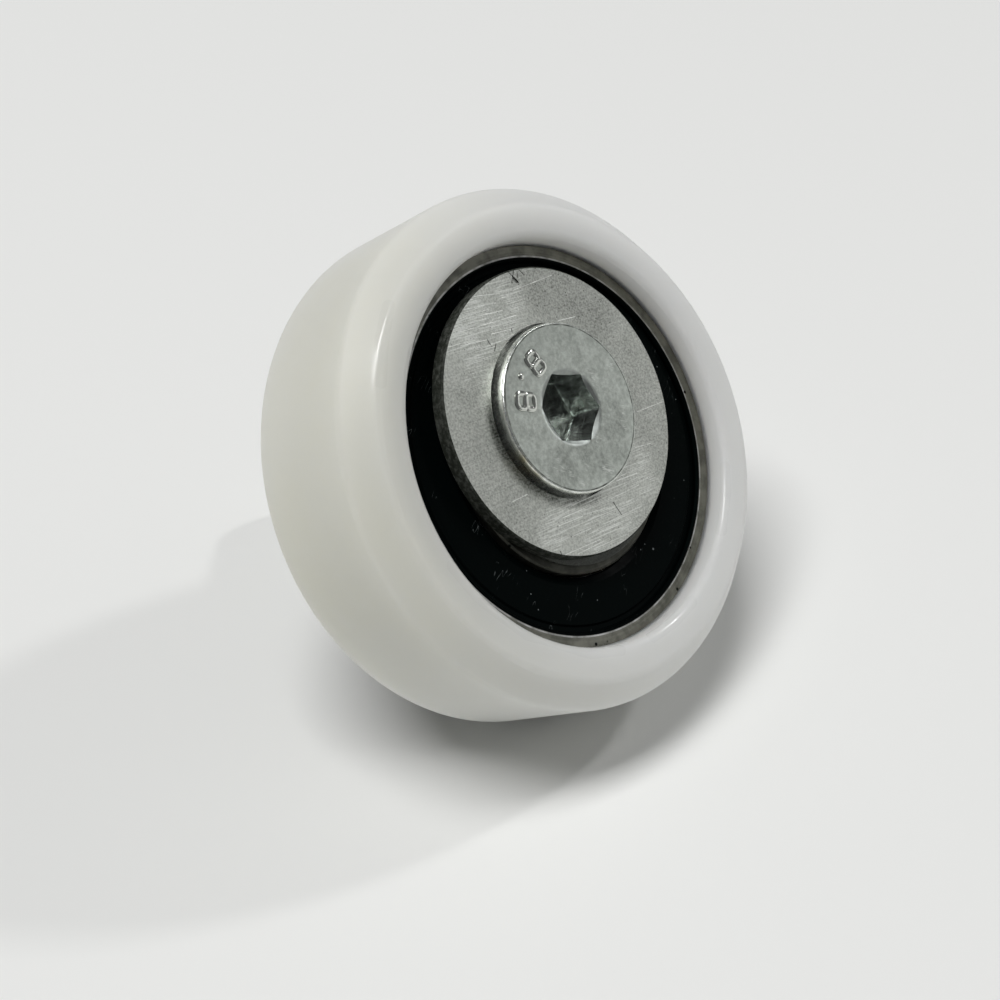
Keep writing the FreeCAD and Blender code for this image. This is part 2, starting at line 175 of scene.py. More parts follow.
class RollerFinishes(bpy.types.PropertyGroup):
    """Colours of the object's pieces."""

    nylon: colour("Nylon", "Moulded roller", (0.71, 0.715, 0.69))
    nylon_tint: colour("Nylon Tint", "Yellowed side of the roller", (0.70, 0.69, 0.59))
    ring: colour("Ring Steel", "Ground bearing rings", (0.205, 0.205, 0.175))
    seal: colour("Seal Rubber", "Bearing seals", (0.0012, 0.0024, 0.0023))
    dust: colour("Dust", "Dust and lint on the seals", (0.19, 0.21, 0.21))
    ball: colour("Ball Steel", "Polished balls", (0.62, 0.62, 0.62))
    cage: colour("Cage Nylon", "Moulded ball cage", (0.60, 0.54, 0.40))
    bush: colour("Bush Zinc", "Plated eccentric bush and spacer", (0.61, 0.63, 0.585))
    scratch: colour("Scratch", "Bare bright metal in the scratches", (0.92, 0.94, 0.90))
    # Dark pits, oil and dirt in the metal, and also the dark end of painted shade beside the screw's head, on
    # the socket's floor and at the foot of the raised mark.
    grime_and_shade: colour("Grime", "Dark pits, oil and dirt in the metal", (0.05, 0.053, 0.044))
    # Also the colour of the bush's neck under the disc, which is darkened by oil and by painted shade.
    edge: colour("Bush Edge", "Dull dark plating on the bush's edge and neck", (0.022, 0.025, 0.020))
    screw: colour("Screw Zinc", "Bluish plating of the socket screw", (0.60, 0.643, 0.592))
    # The bright end of the socket's brightness, which holds painted highlights on the socket's edges and
    # mouth.
    socket: colour("Socket Zinc", "Greenish plating inside the key socket", (0.86, 0.92, 0.88))
    screw_stain: colour("Screw Stain", "Yellowed plating along the head's rim", (0.40, 0.36, 0.22))


class ScrewDetails(bpy.types.PropertyGroup):
    """Sizes of the screw's rolled thread and raised class mark."""

    pitch: length("Pitch", "Rise of the thread in one turn", 1.25)
    crest_radius: length("Crest Radius", "Outside radius of the thread", 3.95)
    root_radius: length("Root Radius", "Radius at the bottom of the thread", 3.26)
    runout_radius: length("Run-out Radius", "Radius of the groove before the thread", 3.3)
    runout_reach: length("Run-out Reach", "From the mounting face to the thread", 0.5)
    tip_chamfer: length("Tip Chamfer", "Chamfer on the end of the thread", 1.0)
    turn_segments: IntProperty(name="Turn Segments", description="Steps round one turn", default=96, min=12)
    pitch_steps: IntProperty(name="Pitch Steps", description="Steps along one pitch", default=16, min=6)
    socket_reach: length("Socket Reach", "From the screw's axis to the corners of the key socket", 2.95)
    digit_height: length("Digit Height", "Radial height of a raised digit", 2.1)
    digit_width: length("Digit Width", "Width of a raised digit", 1.55)
    digit_stroke: length("Digit Stroke", "Width of a digit's raised line", 0.46)
    digit_raise: length("Digit Raise", "How far the digits stand off the head", 0.12)
    digit_radius: length("Digit Radius", "From the screw's axis to the middle of a digit", 4.37)
    point_radius: length("Point Radius", "From the screw's axis to the point between the digits", 4.98)
    mark_angle: angle("Mark Angle", "Middle of the mark, from +X towards +Z", 131.5)
    mark_spread: angle("Mark Spread", "Between the two digits", 43.3)


class StageSettings(bpy.types.PropertyGroup):
    """Camera, floor and lamps."""

    camera_place: FloatVectorProperty(
        name="Camera Place", description="Where the camera stands", subtype="TRANSLATION", unit="LENGTH",
        default=(-80.31 * MM, -92.086 * MM, 13.007 * MM), precision=5)
    camera_azimuth: angle("Camera Azimuth", "Turn of the camera about the upright axis", -39.832)
    camera_elevation: angle("Camera Elevation", "Height of the camera over the object's level", 7.18)
    camera_roll: angle("Camera Roll", "Turn of the picture", -24.876)
    lens: number("Lens", "Focal length in millimetres on a 36 mm sensor", 56.954)
    floor_pitch: angle("Floor Pitch", "How steeply the camera looks down on the floor", 40.0)
    floor_radius: length("Floor Radius", "Half the floor's width", 600.0)
    floor: colour("Floor", "Pale floor", (0.85, 0.853, 0.837))
    sky: number("Sky", "Strength of the even light from all round", 0.11)
    overhead: number("Overhead", "Power of the long lamp over the floor, in watts", 30.6)
    side: number("Side", "Power of the small lamp at the right, in watts", 6.3)
    right_wall: number("Right Wall", "Power of the broad low light at the right, in watts", 3.4)
    left_wall: number("Left Wall", "Power of the broad low light at the left, in watts", 1.7)


def feed(tree, socket, value):
    """Set a socket to a plain value or link it to the output of another node."""
    if isinstance(value, bpy.types.NodeSocket):
        tree.links.new(value, socket)
    else:
        socket.default_value = value


def node(tree, kind, inputs=None, **settings):
    """New node whose inputs are plain values or the outputs of other nodes."""
    made = tree.nodes.new(kind)
    for key, value in settings.items():
        setattr(made, key, value)
    for key, value in (inputs or {}).items():
        feed(tree, made.inputs[key], value)
    return made


def output(tree, kind, inputs=None, **settings):
    """First output of a new node."""
    return node(tree, kind, inputs, **settings).outputs[0]


def calculate(tree, operation, *values, kind="ShaderNodeMath"):
    """Output of a math node."""
    return output(tree, kind, dict(enumerate(values)), operation=operation)


def maths(operation):
    """Function for the math nodes of one operation."""
    def apply(tree, *values):
        return calculate(tree, operation, *values)
    return apply


plus, minus, times, divided = maths("ADD"), maths("SUBTRACT"), maths("MULTIPLY"), maths("DIVIDE")
most, least, size = maths("MAXIMUM"), maths("MINIMUM"), maths("ABSOLUTE")
cosine, sine = maths("COSINE"), maths("SINE")


def gap(tree, first, second):
    """How far two values are apart."""
    return size(tree, minus(tree, first, second))


def stretched(tree, vector, factors):
    """Vector with a factor for each axis."""
    return calculate(tree, "MULTIPLY", vector, factors, kind="ShaderNodeVectorMath")


def split(tree, vector):
    """X, Y and Z of a vector."""
    return node(tree, "ShaderNodeSeparateXYZ", {0: vector}).outputs


def combined(tree, x=0.0, y=0.0, z=0.0):
    """Vector of an X, a Y and a Z."""
    return output(tree, "ShaderNodeCombineXYZ", {"X": x, "Y": y, "Z": z})


def ramp(tree, value, low, high, to_low=0.0, to_high=1.0):
    """Smooth step of a value from one range to another."""
    return output(tree, "ShaderNodeMapRange", {
        "Value": value, "From Min": low, "From Max": high, "To Min": to_low, "To Max": to_high,
    }, interpolation_type="SMOOTHSTEP")


def fall(tree, value, low, high):
    """Smooth step of a value from one down to nothing."""
    return ramp(tree, value, low, high, 1.0, 0.0)


def opaque(value):
    """Plain colour with full alpha; the output of another node stays as it is."""
    return value if isinstance(value, bpy.types.NodeSocket) else (*value, 1.0)


def mixed(tree, factor, first, second):
    """Mix of two colours."""
    inputs = {0: factor, 6: opaque(first), 7: opaque(second)}
    return node(tree, "ShaderNodeMix", inputs, data_type="RGBA").outputs[2]


def socket_name(key):
    """Name of the socket for a keyword."""
    return key.replace("_", " ").title()


def number_sockets(**defaults):
    """Number inputs for a group, named after their keywords."""
    return [(socket_name(key), "NodeSocketFloat", value) for key, value in defaults.items()]


def new_group(name, kind, inputs, outputs):
    """Node group with named sockets, and the group's own input and output nodes."""
    tree = bpy.data.node_groups.new(name, kind)
    for label, socket, default in inputs:
        made = tree.interface.new_socket(label, in_out="INPUT", socket_type=socket)
        if default is not None:
            made.default_value = default
    for label, socket in outputs:
        tree.interface.new_socket(label, in_out="OUTPUT", socket_type=socket)
    return tree, tree.nodes.new("NodeGroupInput").outputs, tree.nodes.new("NodeGroupOutput").inputs


def value_group(name, result, **defaults):
    """Shader group that makes one value from a place and some numbers."""
    given = [("Vector", "NodeSocketVector", None), *number_sockets(**defaults)]
    return new_group(name, "ShaderNodeTree", given, [(result, "NodeSocketFloat")])


def use(tree, make, name, *values):
    """Place a shared shader group, made on first use, with values in the order of its inputs."""
    placed = node(tree, "ShaderNodeGroup", node_tree=bpy.data.node_groups.get(name) or make(name))
    for socket, value in zip(placed.inputs, values):
        feed(tree, socket, value)
    return placed.outputs[0]


def shared(make, name):
    """Function that places one shared shader group and gives its output."""
    def place(tree, *values):
        return use(tree, make, name, *values)
    return place


def make_mottle(name):
    """Cloudy variation between two values."""
    tree, given, result = value_group(name, "Value", scale=1.0, low=0.0, high=1.0)
    cloud = output(tree, "ShaderNodeTexNoise", {
        "Vector": given["Vector"], "Scale": given["Scale"], "Detail": 5.0, "Roughness": 0.6})
    tree.links.new(ramp(tree, cloud, 0.3, 0.7, given["Low"], given["High"]), result["Value"])
    return tree


def make_scratches(name):
    """Thin broken lines that run along the vector's X."""
    tree, given, result = value_group(name, "Mask", along=0.1, across=4.0, width=0.03, patch=0.5, share=0.5)
    factors = combined(tree, given["Along"], given["Across"], given["Across"])
    drawn = stretched(tree, given["Vector"], factors)
    lines = output(tree, "ShaderNodeTexNoise", {"Vector": drawn, "Scale": 1.0, "Detail": 1.0})
    thin = fall(tree, gap(tree, lines, 0.5), 0.0, given["Width"])
    patches = output(tree, "ShaderNodeTexNoise", {
        "Vector": given["Vector"], "Scale": given["Patch"], "Detail": 2.0})
    limit = minus(tree, 0.75, times(tree, given["Share"], 0.5))
    shown = ramp(tree, patches, limit, plus(tree, limit, 0.08))
    tree.links.new(times(tree, thin, shown), result["Mask"])
    return tree


def make_specks(name):
    """Scattered small spots, one in a share of the cells."""
    tree, given, result = value_group(name, "Mask", scale=1.0, size=0.15, share=0.3)
    cells = node(tree, "ShaderNodeTexVoronoi", {"Vector": given["Vector"], "Scale": given["Scale"]})
    chance = node(tree, "ShaderNodeSeparateColor", {0: cells.outputs["Color"]}).outputs
    spot = fall(tree, cells.outputs["Distance"], times(tree, given["Size"], 0.5), given["Size"])
    picked = calculate(tree, "LESS_THAN", chance[0], given["Share"])
    tree.links.new(times(tree, spot, picked), result["Mask"])
    return tree


def make_turning(name):
    """Fine rings left by turning or grinding about an axis along Y."""
    tree, given, result = value_group(name, "Value", axis_height=0.0, lines=8.0)
    across, along, height = split(tree, given["Vector"])
    rise = minus(tree, height, given["Axis Height"])
    radius = distance_from_axis(tree, given["Vector"], given["Axis Height"])
    turn = times(tree, calculate(tree, "ARCTAN2", rise, across), 0.4)
    flat = combined(tree, times(tree, radius, given["Lines"]), times(tree, along, given["Lines"]), turn)
    marks = output(tree, "ShaderNodeTexNoise", {"Vector": flat, "Scale": 1.0, "Detail": 2.0})
    tree.links.new(marks, result["Value"])
    return tree


def make_strokes(name):
    """Straight strokes of one kind on a front face."""
    tree, given, result = value_group(name, "Mask", width=0.06)
    segments, level = STROKES[name]

    def vectors(operation, *values):
        return node(tree, "ShaderNodeVectorMath", dict(enumerate(values)), operation=operation)

    total = 0.0
    half = times(tree, given["Width"], 0.5)
    for start, end in segments:
        first = Vector((start[0], level / MM, start[1]))
        along = Vector((end[0], level / MM, end[1])) - first
        offset = vectors("SUBTRACT", given["Vector"], first).outputs[0]
        share = vectors("DOT_PRODUCT", offset, along / along.length_squared).outputs["Value"]
        nearest = node(tree, "ShaderNodeVectorMath", {
            0: along, "Scale": least(tree, most(tree, share, 0.0), 1.0)}, operation="SCALE")
        away = vectors("DISTANCE", offset, nearest.outputs[0]).outputs["Value"]
        total = most(tree, total, fall(tree, away, times(tree, half, 0.4), half))
    tree.links.new(total, result["Mask"])
    return tree


def distance_from_axis(tree, vector, axis_height):
    """Distance of a place from an axis along Y at a height."""
    across, _, height = split(tree, vector)
    rise = minus(tree, height, axis_height)
    return calculate(tree, "SQRT", plus(tree, times(tree, across, across), times(tree, rise, rise)))


def axis_share(tree):
    """How much a face looks along the wheel's axis."""
    normal = node(tree, "ShaderNodeTexCoord").outputs["Normal"]
    return split(tree, normal)["Y"]


mottle = shared(make_mottle, "Mottle")
scratches = shared(make_scratches, "Line Scratches")
specks = shared(make_specks, "Specks")
turning = shared(make_turning, "Turning Marks")


def strokes(tree, vector, name, width):
    """Mask of the strokes of one kind."""
    return use(tree, make_strokes, name, vector, width)


def blank_material(name, **constants):
    """Material with a Principled shader whose constant sockets are set directly."""
    material = bpy.data.materials.new(name)
    material.use_nodes = True
    tree = material.node_tree
    shader = tree.nodes["Principled BSDF"]
    for key, value in constants.items():
        shader.inputs[key.replace("_", " ")].default_value = value
    return material, tree, shader.inputs


def object_millimetres(tree):
    """Object coordinates in millimetres."""
    place = node(tree, "ShaderNodeTexCoord").outputs["Object"]
    return output(tree, "ShaderNodeVectorMath", {0: place, "Scale": 1.0 / MM}, operation="SCALE")


def face_lines(tree, vector, degrees):
    """Coordinates on the front face: X along a direction in the face, Y across it and Z into the piece."""
    turned = output(tree, "ShaderNodeMapping", {
        "Vector": vector, "Rotation": (0.0, math.radians(degrees), 0.0)}, vector_type="POINT")
    x, y, z = split(tree, turned)
    return combined(tree, x, z, y)


def bump(tree, inputs, height, distance, strength=1.0):
    """Relief of a height in millimetres."""
    made = node(tree, "ShaderNodeBump", {"Height": height, "Distance": distance * MM, "Strength": strength})
    tree.links.new(made.outputs[0], inputs["Normal"])


def nylon_finish(colours):
    """Satin nylon, slightly translucent, tinted yellow on one side with the tint fading towards the bottom as
    painted light, small nicks and rubbed edges.
    """
    material, tree, inputs = blank_material(
        "nylon_satin", Subsurface_Weight=0.9, Subsurface_Scale=11.0 * MM, IOR=1.53, Specular_IOR_Level=0.25)
    inputs["Subsurface Radius"].default_value = (1.0, 0.97, 0.92)
    mm = object_millimetres(tree)
    x, _, z = split(tree, mm)
    # Yellow tint towards the left. It fades towards the bottom, which is painted light that keeps the lower
    # side lighter.
    yellowing_and_painted_light = times(tree, fall(tree, x, -18.0, 12.0), ramp(tree, z, -20.0, 2.0, 0.25, 1.0))
    yellowing_and_painted_light = times(tree, yellowing_and_painted_light, mottle(tree, mm, 0.05, 0.7, 1.0))
    feed(tree, inputs["Base Color"], mixed(tree, yellowing_and_painted_light, colours.nylon, colours.nylon_tint))
    nicks = specks(tree, mm, 0.45, 0.06, 0.12)
    rim = gap(tree, distance_from_axis(tree, mm, 0.0), ROLLER_RIM)
    rim_nicks = times(tree, fall(tree, rim, 0.15, 0.4), specks(tree, mm, 1.0, 0.22, 0.35))
    dents = most(tree, nicks, rim_nicks)
    rubbed = times(tree, strokes(tree, mm, "Rubbed Edges", 1.5), mottle(tree, mm, 0.8, 0.24, 0.36))
    rough = minus(tree, mottle(tree, mm, 0.2, 0.42, 0.48), rubbed)
    feed(tree, inputs["Roughness"], plus(tree, rough, times(tree, dents, 0.1)))
    bump(tree, inputs, dents, -0.012, 0.3)
    return material


def ring_finish(colours, name, seal_edge, darkened):
    """Ground bearing steel: oiled and specked, with a painted dark reflection as a black band along the seal
    and a painted highlight on the edge beside it.
    """
    material, tree, inputs = blank_material(name, Metallic=1.0)
    mm = object_millimetres(tree)
    marks = turning(tree, mm, 0.0, 9.0)
    dirt = specks(tree, mm, 0.9, 0.16, 0.25)
    oil = plus(tree, times(tree, marks, 0.5), mottle(tree, mm, 0.7, -0.35, 0.35))
    tone = mixed(tree, most(tree, oil, 0.0), colours.ring, colours.grime_and_shade)
    reach = distance_from_axis(tree, mm, 0.0)
    # Painted highlight: a thin band by the seal's edge is brightened towards ball steel.
    glint = fall(tree, gap(tree, reach, seal_edge), 0.03, 0.09)
    glint = times(tree, glint, mottle(tree, mm, 1.1, 0.1, 0.8))
    tone = mixed(tree, glint, tone, colours.ball)
    # Painted dark reflection: a black band along the seal, joined with the dirt specks into one mask.
    dark_reflection_band = fall(tree, reach, seal_edge - 0.1, seal_edge - 0.04)
    dirt = most(tree, dirt, times(tree, dark_reflection_band, darkened))
    feed(tree, inputs["Base Color"], mixed(tree, dirt, tone, colours.seal))
    rough = plus(tree, mottle(tree, mm, 1.2, 0.30, 0.42), times(tree, dirt, 0.3))
    feed(tree, inputs["Roughness"], rough)
    bump(tree, inputs, marks, 0.008, 0.5)
    return material


def seal_finish(colours):
    """Smooth black rubber with dust specks, short lint and faint moulding rings."""
    material, tree, inputs = blank_material("seal_rubber", Specular_IOR_Level=0.012)
    mm = object_millimetres(tree)
    fine_dust = specks(tree, mm, 1.6, 0.11, 0.09)
    coarse_dust = specks(tree, mm, 0.5, 0.06, 0.25)
    lint = scratches(tree, face_lines(tree, mm, 35.0), 0.55, 2.2, 0.012, 0.45, 0.32)
    x, _, _ = split(tree, mm)
    lint = times(tree, lint, ramp(tree, x, -9.0, 2.0, 1.0, 0.2))
    dirt = most(tree, most(tree, fine_dust, coarse_dust), lint)
    tone = mixed(tree, times(tree, dirt, 0.8), colours.seal, colours.dust)
    feed(tree, inputs["Base Color"], tone)
    rough = plus(tree, mottle(tree, mm, 0.8, 0.22, 0.36), times(tree, dirt, 0.4))
    feed(tree, inputs["Roughness"], rough)
    relief = plus(tree, times(tree, turning(tree, mm, 0.0, 2.5), 0.6), dirt)
    bump(tree, inputs, relief, 0.012, 0.35)
    return material


def head_shade(tree, mm, x, depth, z):
    """Painted shade: a darker crescent on the disc beside the screw's head, on its lower left, where the head
    shades the disc.
    """
    reach = distance_from_axis(tree, mm, SCREW_HEIGHT)
    lean = plus(tree, times(tree, x, -0.85), times(tree, minus(tree, z, SCREW_HEIGHT), -0.53))
    crescent = times(tree, ramp(tree, reach, 6.9, 7.6, 0.5, 0.0), ramp(tree, lean, 2.8, 5.0))
    return times(tree, crescent, fall(tree, depth, DISC_MIDDLE - 0.1, DISC_MIDDLE + 0.1))


def bush_finish(colours, name, edge_soil):
    """Zinc-plated steel: grained and scratched face with nicks, a rough dull dark edge, a neck darkened by
    oil and by painted shade, and a painted shade crescent beside the screw's head.
    """
    material, tree, inputs = blank_material(name, Specular_IOR_Level=0.05)
    mm = object_millimetres(tree)
    x, depth, z = split(tree, mm)
    neck = times(tree, ramp(tree, depth, NECK_FRONT, NECK_FRONT + 0.1),
                 fall(tree, depth, NECK_REAR - 0.1, NECK_REAR))
    facing = size(tree, axis_share(tree))
    edge = fall(tree, facing, 0.80, 0.97)
    broken = mottle(tree, mm, 1.6, 0.35, 1.0)
    bright = times(tree, strokes(tree, mm, "Disc Scratches", 0.085), broken)
    grained = face_lines(tree, mm, -7.5)
    faint = most(tree, scratches(tree, grained, 0.12, 4.5, 0.05, 0.22, 0.6),
                 scratches(tree, grained, 0.25, 9.0, 0.06, 0.35, 0.55))
    rubbed = strokes(tree, mm, "Rubbed Face", 7.5)
    dull = strokes(tree, mm, "Soiled Face", 5.5)
    bright = most(tree, bright, times(tree, faint, ramp(tree, rubbed, 0.0, 1.0, 0.16, 0.62)))
    nicks = strokes(tree, mm, "Disc Nicks", 0.10)
    pits = most(tree, specks(tree, mm, 1.5, 0.12, 0.18), specks(tree, mm, 3.2, 0.22, 0.20))
    pits = times(tree, pits, ramp(tree, dull, 0.0, 1.0, 0.5, 0.9))
    pits = most(tree, pits, nicks)
    grain = mottle(tree, mm, 6.0)
    cloud = plus(tree, times(tree, grain, 0.46), mottle(tree, mm, 0.5, 0.0, 0.10))
    cloud = plus(tree, cloud, times(tree, dull, 0.12))
    cloud = minus(tree, cloud, times(tree, rubbed, 0.15))
    # Painted shade: the crescent beside the screw's head darkens the clouds.
    cloud = most(tree, plus(tree, cloud, head_shade(tree, mm, x, depth, z)), 0.0)
    tone = mixed(tree, cloud, colours.bush, colours.grime_and_shade)
    tone = mixed(tree, times(tree, bright, 0.9), tone, colours.scratch)
    darkened = times(tree, edge, mottle(tree, mm, 2.6, edge_soil - 0.14, edge_soil))
    # The neck under the disc darkens too, by oil and by painted shade.
    darkened = most(tree, darkened, times(tree, neck, 0.8))
    tone = mixed(tree, least(tree, darkened, 1.0), tone, colours.edge)
    feed(tree, inputs["Base Color"], mixed(tree, times(tree, pits, 0.9), tone, colours.grime_and_shade))
    feed(tree, inputs["Metallic"], ramp(tree, darkened, 0.3, 0.9, 0.9, 0.0))
    rough = minus(tree, mottle(tree, mm, 1.1, 0.42, 0.54), times(tree, bright, 0.14))
    feed(tree, inputs["Roughness"], rough)
    relief = plus(tree, times(tree, grain, 0.5), times(tree, bright, 0.5))
    coarse = times(tree, mottle(tree, mm, 2.2), times(tree, edge, 3.0))
    relief = minus(tree, plus(tree, relief, coarse), pits)
    bump(tree, inputs, relief, 0.02, 0.6)
    return material


def socket_cut(tree, mm, x, y, z, reach):
    """Brightness, gloss and relief in the key socket, with streaked walls, painted highlights on its edges
    and on one side of its mouth, and painted shade on its floor.
    """
    rise = minus(tree, z, SCREW_HEIGHT)
    across = 0.0
    for degrees in KEY_FACES:
        turn = math.radians(degrees)
        along = plus(tree, times(tree, x, math.cos(turn)), times(tree, rise, math.sin(turn)))
        across = most(tree, across, size(tree, along))
    mouth = ramp(tree, across, KEY_HALF_WIDTH + 0.01, KEY_HALF_WIDTH + 0.03)
    floor = fall(tree, across, KEY_HALF_WIDTH - 0.04, KEY_HALF_WIDTH - 0.01)
    streaks = mottle(tree, stretched(tree, mm, (1.0, 0.35, 1.0)), 1.7, 0.12, 0.85)
    # Painted highlights: bright lines at the foot of the walls, at the corners and along a line partway down
    # the walls.
    edges = most(tree, ramp(tree, y, KEY_FLOOR - 0.30, KEY_FLOOR - 0.18),
                 ramp(tree, reach, KEY_CORNER - 0.08, KEY_CORNER))
    step = ramp(tree, gap(tree, y, KEY_FLOOR - 1.5), 0.04, 0.09, 0.8, 0.0)
    edges = times(tree, most(tree, edges, step), mottle(tree, mm, 2.0, 0.4, 1.2))
    tone = most(tree, streaks, edges)
    # Painted shade: the floor of the socket is darker.
    tone = times(tree, tone, ramp(tree, floor, 0.0, 1.0, 1.0, 0.2))
    # Painted highlight: the mouth is lighter towards one side.
    lean = plus(tree, times(tree, x, 0.6), times(tree, rise, 0.8))
    lit = times(tree, mottle(tree, mm, 1.2, 0.7, 1.0), ramp(tree, lean, -1.8, 1.0, 1.0, 0.38))
    tone = output(tree, "ShaderNodeMix", {0: mouth, 2: tone, 3: lit})
    inner = minus(tree, 1.0, mouth)
    relief = times(tree, plus(tree, edges, times(tree, streaks, 0.3)), inner)
    return tone, ramp(tree, mouth, 0.0, 1.0, 0.2, -0.05), times(tree, relief, 6.0)


def screw_finish(colours, head_flat):
    """Smooth bluish zinc on the screw: clouds, scratches, a stained rim with a dark broken line along it, a
    head side brightened as painted sheen, and a socket with painted highlights and painted shade.
    """
    material, tree, inputs = blank_material("screw_zinc", Metallic=0.93)
    mm = object_millimetres(tree)
    x, y, z = split(tree, mm)
    reach = distance_from_axis(tree, mm, SCREW_HEIGHT)
    in_socket = times(tree, fall(tree, reach, KEY_MOUTH, KEY_MOUTH + 0.1),
                      ramp(tree, y, head_flat / MM + 0.01, head_flat / MM + 0.05))
    in_socket = times(tree, in_socket, fall(tree, y, KEY_FLOOR + 0.3, KEY_FLOOR + 0.5))
    on_face = minus(tree, 1.0, in_socket)
    fine = scratches(tree, face_lines(tree, mm, -35.0), 0.4, 4.0, 0.03, 0.6, 0.35)
    dents = specks(tree, mm, 1.4, 0.10, 0.10)
    cloud = plus(tree, mottle(tree, mm, 3.8, 0.0, 1.1), mottle(tree, mm, 0.9, 0.0, 0.9))
    patch = strokes(tree, mm, "Head Clouds", 4.5)
    cloud = plus(tree, cloud, times(tree, patch, 0.55))
    tone = mixed(tree, times(tree, cloud, 0.24), colours.screw, colours.grime_and_shade)
    # Painted sheen: the head's side is brightened towards bare metal.
    side = times(tree, ramp(tree, reach, HEAD_RIM + 0.02, HEAD_RIM + 0.14),
                 fall(tree, y, DISC_MIDDLE - 0.1, DISC_MIDDLE))
    tone = mixed(tree, times(tree, side, mottle(tree, mm, 1.2, 0.4, 1.0)), tone, colours.scratch)
    stain = times(tree, ramp(tree, reach, 6.25, 6.5), fall(tree, x, -6.3, -4.8))
    stain = times(tree, stain, times(tree, fall(tree, z, 0.5, 2.5), mottle(tree, mm, 0.9, 0.2, 0.9)))
    tone = mixed(tree, stain, tone, colours.screw_stain)
    line = fall(tree, gap(tree, reach, HEAD_RIM), 0.03, 0.08)
    line = times(tree, line, mottle(tree, mm, 1.5, 0.35, 0.95))
    tone = mixed(tree, line, tone, colours.grime_and_shade)
    cut, gloss, cut_relief = socket_cut(tree, mm, x, y, z, reach)
    # The socket's brightness, with its painted highlights and painted shade, runs from the dark colour to the
    # bright socket plating.
    tone = mixed(tree, in_socket, tone, mixed(tree, cut, colours.grime_and_shade, colours.socket))
    feed(tree, inputs["Base Color"], mixed(tree, times(tree, fine, 0.4), tone, colours.scratch))
    shiny = plus(tree, times(tree, in_socket, gloss), times(tree, side, 0.12))
    feed(tree, inputs["Roughness"], minus(tree, mottle(tree, mm, 1.3, 0.30, 0.42), shiny))
    relief = minus(tree, plus(tree, cloud, times(tree, fine, 0.5)), dents)
    relief = plus(tree, times(tree, relief, on_face), times(tree, cut_relief, in_socket))
    bump(tree, inputs, relief, 0.010, 0.5)
    return material


def mark_finish(colours):
    """Shiny zinc of the raised mark, rubbed bright on top, with painted shade darkening its foot."""
    material, tree, inputs = blank_material("mark_zinc", Metallic=0.95)
    mm = object_millimetres(tree)
    _, y, _ = split(tree, mm)
    # Painted shade: darker at the foot of the mark, where it meets the head.
    foot = ramp(tree, y, HEAD_TOP / MM + 0.05, HEAD_TOP / MM + 0.11)
    foot = times(tree, foot, mottle(tree, mm, 2.0, 0.5, 0.9))
    feed(tree, inputs["Base Color"], mixed(tree, foot, colours.bush, colours.grime_and_shade))
    feed(tree, inputs["Roughness"], mottle(tree, mm, 3.0, 0.08, 0.20))
    bump(tree, inputs, mottle(tree, mm, 3.5), 0.010, 0.4)
    return material


def ball_finish(colours):
    """Polished ball steel with a trace of grease."""
    material, tree, inputs = blank_material("ball_steel", Metallic=1.0)
    mm = object_millimetres(tree)
    tone = mixed(tree, mottle(tree, mm, 0.7, 0.0, 0.25), colours.ball, colours.grime_and_shade)
    feed(tree, inputs["Base Color"], tone)
    feed(tree, inputs["Roughness"], mottle(tree, mm, 1.4, 0.08, 0.2))
    return material


def cage_finish(colours):
    """Moulded natural nylon of the ball cage."""
    material, tree, inputs = blank_material("cage_nylon", IOR=1.53)
    mm = object_millimetres(tree)
    tone = mixed(tree, mottle(tree, mm, 0.3, 0.0, 0.5), colours.cage, colours.nylon_tint)
    feed(tree, inputs["Base Color"], tone)
    feed(tree, inputs["Roughness"], mottle(tree, mm, 1.0, 0.38, 0.52))
    bump(tree, inputs, mottle(tree, mm, 3.0), 0.01, 0.5)
    return material


def paint(node_name, material):
    """Give a CAD node its finish."""
    slots = frame["nodes"][node_name].material_slots
    if not slots:
        raise RuntimeError(f"{node_name} has no material slot")
    for slot in slots:
        slot.material = material


def grown_mesh(tree, values):
    """Plain mesh that a Geometry Nodes tree makes from named sizes."""
    holder = bpy.data.objects.new(tree.name, bpy.data.meshes.new(tree.name))
    bpy.context.scene.collection.objects.link(holder)
    grower = holder.modifiers.new(tree.name, "NODES")
    grower.node_group = tree
    for item in tree.interface.items_tree:
        if item.in_out == "INPUT" and item.name in values:
            grower[item.identifier] = values[item.name]
    depsgraph = bpy.context.evaluated_depsgraph_get()
    mesh = bpy.data.meshes.new_from_object(holder.evaluated_get(depsgraph), depsgraph=depsgraph)
    holder.modifiers.remove(grower)
    bpy.data.objects.remove(holder)
    if not mesh.polygons:
        raise RuntimeError(f"{tree.name} made no faces")
    return mesh


def end_geometry(tree, given, result, geometry):
    """End a Geometry Nodes tree with real meshes in their material."""
    real = output(tree, "GeometryNodeRealizeInstances", {"Geometry": geometry})
    dressed = node(tree, "GeometryNodeSetMaterial", {"Geometry": real, "Material": given["Material"]})
    tree.links.new(dressed.outputs[0], result["Geometry"])
    return tree


